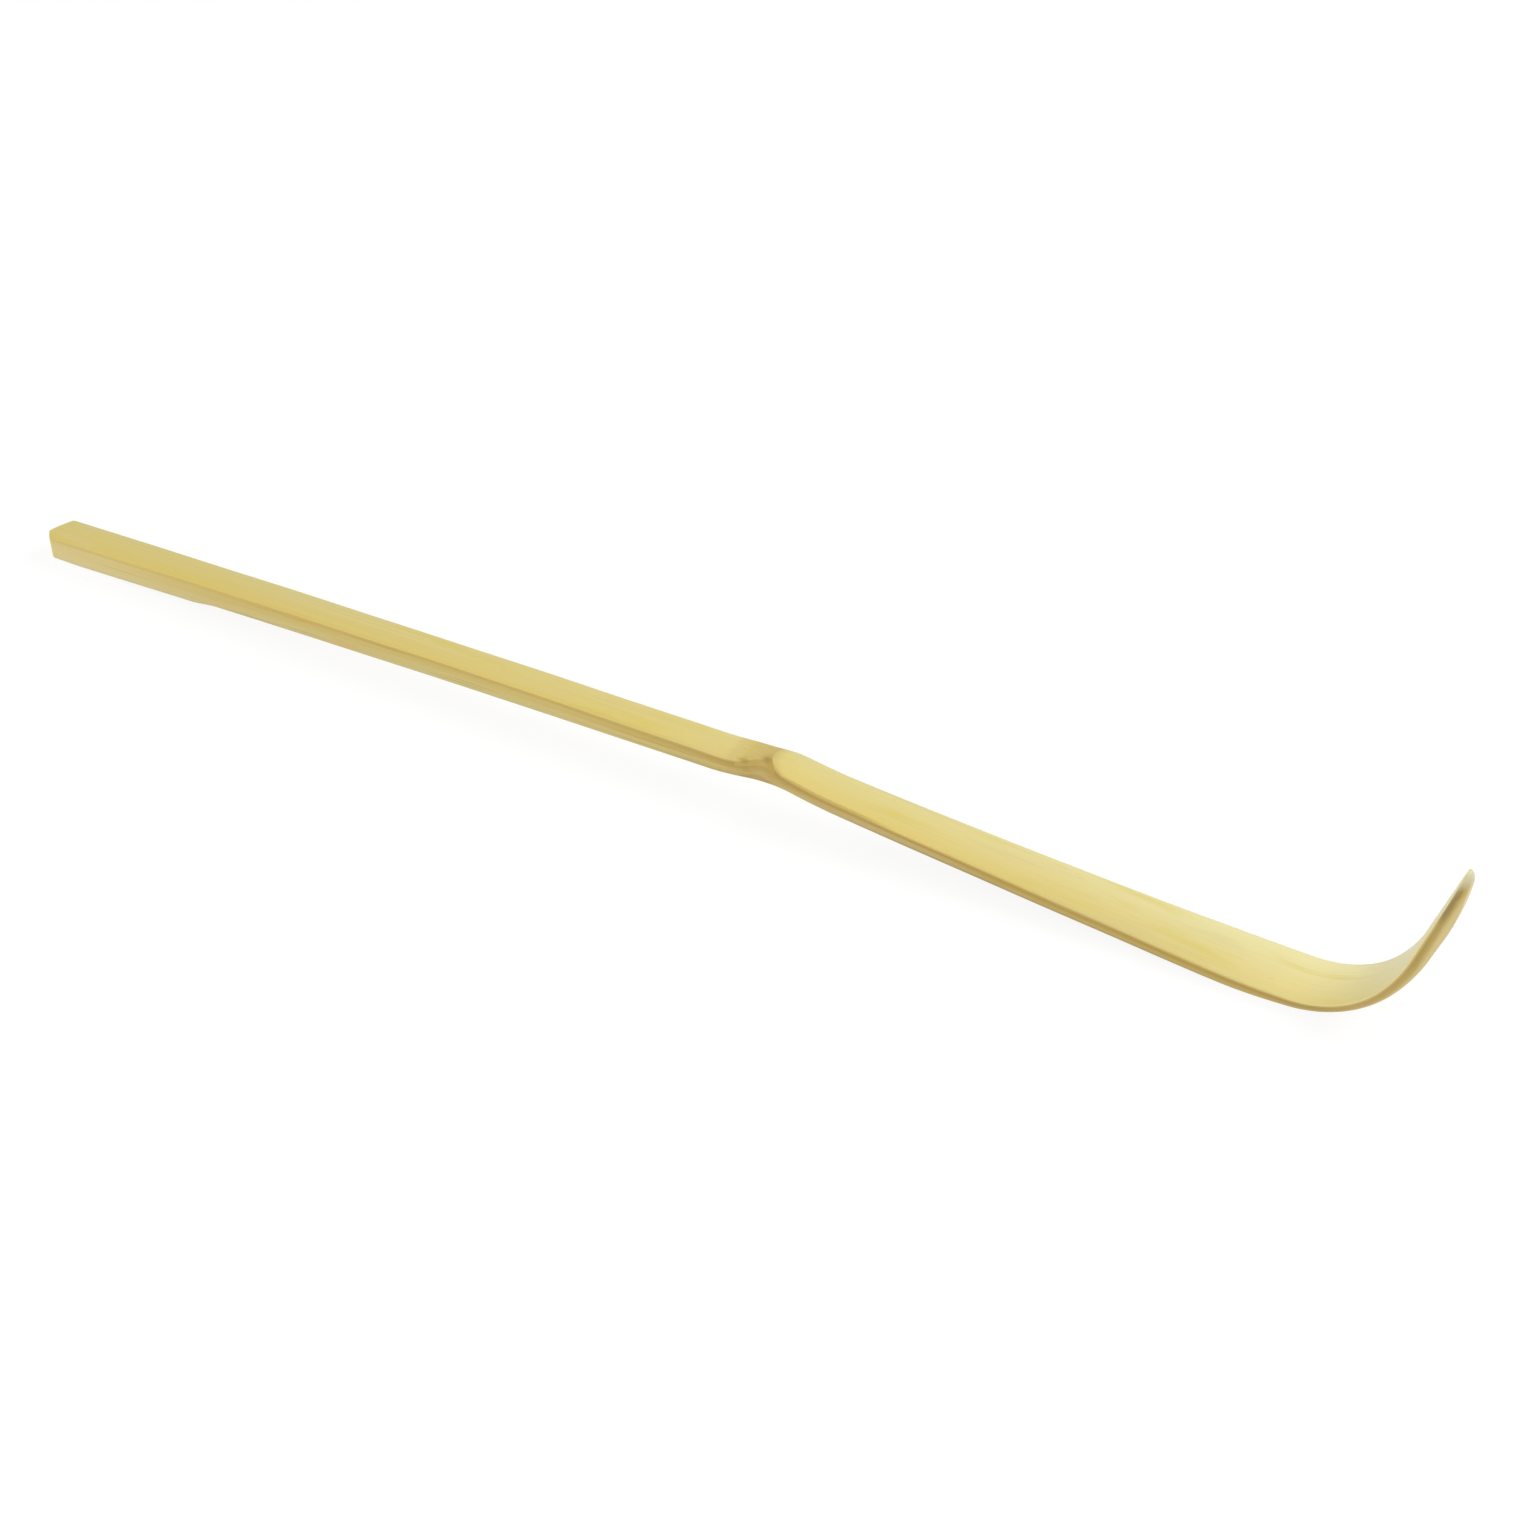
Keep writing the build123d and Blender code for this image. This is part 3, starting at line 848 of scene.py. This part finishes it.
# The ridge of the node, planed down across its fibres. They cross and curl there, so it is a little
# browner and cloudier than the skin beside it, and duller. It darkens at the blade's skin.
def planed_ridge(tree):
    spot, place, across, rise = grain_spot(tree)
    uneven = fibre_pattern(tree, spot, length=1.6, width=0.7, detail=2.0, seed=1.0)
    border = add_node(tree, "ShaderNodeMath", {"operation": "MULTIPLY_ADD", 1: 1.6}, {0: uneven, 2: place})
    along = add_node(tree, "ShaderNodeMapRange", {1: RING_START + 0.8, 2: RING_END + 0.8},
                     {0: border.outputs[0]})
    tone = add_node(tree, "ShaderNodeValToRGB",
                    {"stops": [(0.0, "#DDC874"), (0.25, "#D6BF6C"), (0.62, "#D0B96C"), (1.0, "#CCB46A")]},
                    {0: along.outputs[0]}).outputs[0]
    tongue_side = fade(tree, past_tongue(tree, place, across), -1.5, -0.2, 0.75)
    tone = stain(tree, tone, "#B9963E", across, 0.9, -0.7, tongue_side)
    curl = add_node(tree, "ShaderNodeTexNoise", {"Scale": 0.9, "Detail": 2.0}, {"Vector": spot})
    curled = add_node(tree, "ShaderNodeVectorMath", {"operation": "MULTIPLY_ADD", 1: (1.2, 0.9, 0.9)},
                      {0: curl.outputs["Color"], 2: spot})
    fibres = fibre_pattern(tree, curled.outputs[0], length=2.6, width=0.3, detail=3.0, seed=9.0)
    tone = stain(tree, tone, "#A6873E", fibres, 0.52, 0.76, 0.3)
    tone = stain(tree, tone, "#E6D8A4", fibres, 0.45, 0.25, 0.25)
    tone = stain(tree, tone, "#C0A04C", rise, -0.04, -0.3, 0.7)
    tone = stain(tree, tone, "#B8963F", rise, -0.26, -0.42, fade(tree, across, -1.8, 1.5, 0.7))
    tone = with_node_dark_spots(tree, tone, spot)
    roughness = add_node(tree, "ShaderNodeMapRange", {3: 0.42, 4: 0.6}, {0: fibres})
    return tone, roughness.outputs[0], fibres, 0.02, 0.45


# The root of the septum, cut flush with the underside. It is a mat of short crossed fibres in pale
# pith, dull and a little pitted. Its cut flanks are darker: brown like the wood round them, and
# deepened there as painted shade.
def septum_pith(tree):
    spot, _, across, _ = grain_spot(tree)
    mat = add_node(tree, "ShaderNodeTexNoise", {"Scale": 2.2, "Detail": 4.0, "Roughness": 0.6},
                   {"Vector": spot})
    tone = add_node(tree, "ShaderNodeValToRGB",
                    {"stops": [(0.3, "#AE9762"), (0.55, "#D2C190"), (0.75, "#E2D6AE")]},
                    {0: mat.outputs[0]}).outputs[0]
    pits = add_node(tree, "ShaderNodeTexVoronoi", {"Scale": 2.6}, {"Vector": spot})
    tone = stain(tree, tone, "#8A7040", pits.outputs["Distance"], 0.24, 0.1, 0.5)
    off_middle = add_node(tree, "ShaderNodeMath", {"operation": "ABSOLUTE"}, {0: across})
    # Darker brown towards the flanks: the wood's own brown, deepened as painted shade
    tone = stain(tree, tone, "#B49850", off_middle.outputs[0], 1.2, 1.7, 0.9)
    return tone, mat.outputs[0], mat.outputs[0], 0.03, 0.35


# The pieces

skin_finish = finish_bamboo("bamboo_culm_skin_polished", polished_skin)
wall_finish = finish_bamboo("bamboo_wall_knife_cut", knife_cut_wall)
ridge_finish = finish_bamboo("bamboo_node_planed", planed_ridge)
pith_finish = finish_bamboo("bamboo_septum_cut", septum_pith)
bend_tree = heat_bend_tree()
middle_line = middle_line_curve()

# The layers of each tissue, from its top face down, as shares of its depth with an added distance
skin_edge = [(0, distance) for distance in eased_steps(SKIN_EDGE_EASE)]
foot_edge = [(1, -distance) for distance in reversed(eased_steps(FOOT_EDGE_EASE))]
skin_layers = skin_edge + [(1, 0)]
ring_layers = skin_edge + [(0.5, 0), (1, 0)]
wall_layers = [(i / WALL_LAYERS, 0) for i in range(WALL_LAYERS - 1)] + foot_edge
septum_layers = [(share, 0) for share in (0, 0.3, 0.55, 0.75, 0.88, 0.96, 1)]

# The wall's mesh has lines where the ring and the septum start and end, as their own meshes do
septum_start, septum_end = RING_MIDDLE - SEPTUM_CHORD / 2, RING_MIDDLE + SEPTUM_CHORD / 2
septum_places = set(stations(septum_start, septum_end))
septum_places |= {septum_start + step for step in SEPTUM_STEPS}
septum_places |= {septum_end - step for step in SEPTUM_STEPS}
tissue_borders = {RING_START, RING_START + BORDER_STEP, RING_END - BORDER_STEP, RING_END}

grip_skin = Tissue(0, RING_START, skin_top, skin_bottom, skin_layers)
blade_skin = Tissue(RING_END, SCOOP_LENGTH, skin_top, skin_bottom, skin_layers)
node_ring = Tissue(RING_START, RING_END, skin_top, ring_bottom, ring_layers)
culm_wall = Tissue(0, SCOOP_LENGTH, wall_top, wall_bottom, wall_layers)
septum_stub = Tissue(septum_start, septum_end, septum_top, underside, septum_layers)
wall_places = sorted(set(stations(0, SCOOP_LENGTH)) | tissue_borders | septum_places)

bend_piece("grip_skin_piece", grip_skin, stations(0, RING_START), skin_finish, "grip_skin")
bend_piece("blade_skin_piece", blade_skin, stations(RING_END, SCOOP_LENGTH), skin_finish, "blade_skin")
bend_piece("node_ring_piece", node_ring, stations(RING_START, RING_END), ridge_finish, "node_ring")
bend_piece("culm_wall_piece", culm_wall, wall_places, wall_finish, "culm_wall")
bend_piece("septum_stub_piece", septum_stub, sorted(septum_places), pith_finish, "septum_stub")
bpy.data.objects.remove(middle_line)


# The studio: a white floor that keeps a soft shadow, soft lamps and the camera

def rays_that_see(tree):
    """One for rays that see the studio itself: the camera's, and those of glossy or clear things."""
    rays = add_node(tree, "ShaderNodeLightPath")
    mirrored = add_node(tree, "ShaderNodeMath", {"operation": "MAXIMUM"},
                        {0: rays.outputs["Is Glossy Ray"], 1: rays.outputs["Is Transmission Ray"]})
    seen = add_node(tree, "ShaderNodeMath", {"operation": "MAXIMUM"},
                    {0: rays.outputs["Is Camera Ray"], 1: mirrored.outputs[0]})
    return seen.outputs[0]


def studio_floor():
    """White card. What is seen of it is mostly its own glow, so that the shadow stays faint."""
    half, level = 3.0, -2e-5
    data = bpy.data.meshes.new("studio_floor")
    corners = [(-half, -half, level), (half, -half, level), (half, half, level), (-half, half, level)]
    data.from_pydata(corners, [], [(0, 1, 2, 3)])
    floor = bpy.data.objects.new("studio_floor", data)
    bpy.context.scene.collection.objects.link(floor)
    material, tree = new_material("white_card")
    card = add_node(tree, "ShaderNodeBsdfDiffuse", {"Color": colour("#E6E6E6")})
    faint_card = add_node(tree, "ShaderNodeBsdfDiffuse", {"Color": colour("#6E6E6E")})
    glow = add_node(tree, "ShaderNodeEmission", {"Color": colour("#FFFFFF"), "Strength": 0.87})
    seen_card = add_node(tree, "ShaderNodeAddShader", links={0: glow.outputs[0], 1: faint_card.outputs[0]})
    both = add_node(tree, "ShaderNodeMixShader",
                    links={0: rays_that_see(tree), 1: card.outputs[0], 2: seen_card.outputs[0]})
    add_node(tree, "ShaderNodeOutputMaterial", links={"Surface": both.outputs[0]})
    data.materials.append(material)


def studio_world():
    """A white room: dimmer as light than it looks, because the lamps give the rest."""
    world = bpy.data.worlds.new("studio_white")
    bpy.context.scene.world = world
    world.use_nodes = True
    tree = world.node_tree
    tree.nodes.clear()
    strength = add_node(tree, "ShaderNodeMapRange", {3: 0.5, 4: 1.0}, {0: rays_that_see(tree)})
    sky = add_node(tree, "ShaderNodeBackground", {"Color": colour("#FFFFFF")},
                   {"Strength": strength.outputs[0]})
    add_node(tree, "ShaderNodeOutputWorld", links={"Surface": sky.outputs[0]})


def soft_lamp(name, place, size, power):
    """A square lamp in a soft box, aimed at the scoop."""
    data = bpy.data.lights.new(name, "AREA")
    data.shape = "SQUARE"
    data.size = size
    data.energy = power
    lamp = bpy.data.objects.new(name, data)
    bpy.context.scene.collection.objects.link(lamp)
    lamp.location = place
    lamp.rotation_mode = "QUATERNION"
    lamp.rotation_quaternion = (-Vector(place)).to_track_quat("-Z", "Y")


def photo_camera():
    """The photograph's own view: direction, distance and lens."""
    azimuth, elevation = math.radians(28.35), math.radians(40.57)
    distance, pixels_per_mm, image_height = 397.9, 8.748, 1534
    aim = Vector((8.81, 0.66, 4.0)) * MM
    back = Vector((math.sin(azimuth) * math.cos(elevation), -math.cos(azimuth) * math.cos(elevation),
                   math.sin(elevation)))
    data = bpy.data.cameras.new("photo_camera")
    data.sensor_width = 36
    data.lens = distance * pixels_per_mm * data.sensor_width / image_height
    data.clip_start = 0.02
    data.clip_end = 20
    camera = bpy.data.objects.new("photo_camera", data)
    bpy.context.scene.collection.objects.link(camera)
    camera.location = aim + back * distance * MM
    camera.rotation_mode = "QUATERNION"
    camera.rotation_quaternion = (-back).to_track_quat("-Z", "Y")
    bpy.context.scene.camera = camera


studio_floor()
studio_world()
soft_lamp("right_box", place=(0.55, 0.45, 0.6), size=0.6, power=4.4)
soft_lamp("front_box", place=(-0.35, -0.85, 0.45), size=0.8, power=4.4)
photo_camera()
bpy.context.scene.view_settings.view_transform = "Standard"
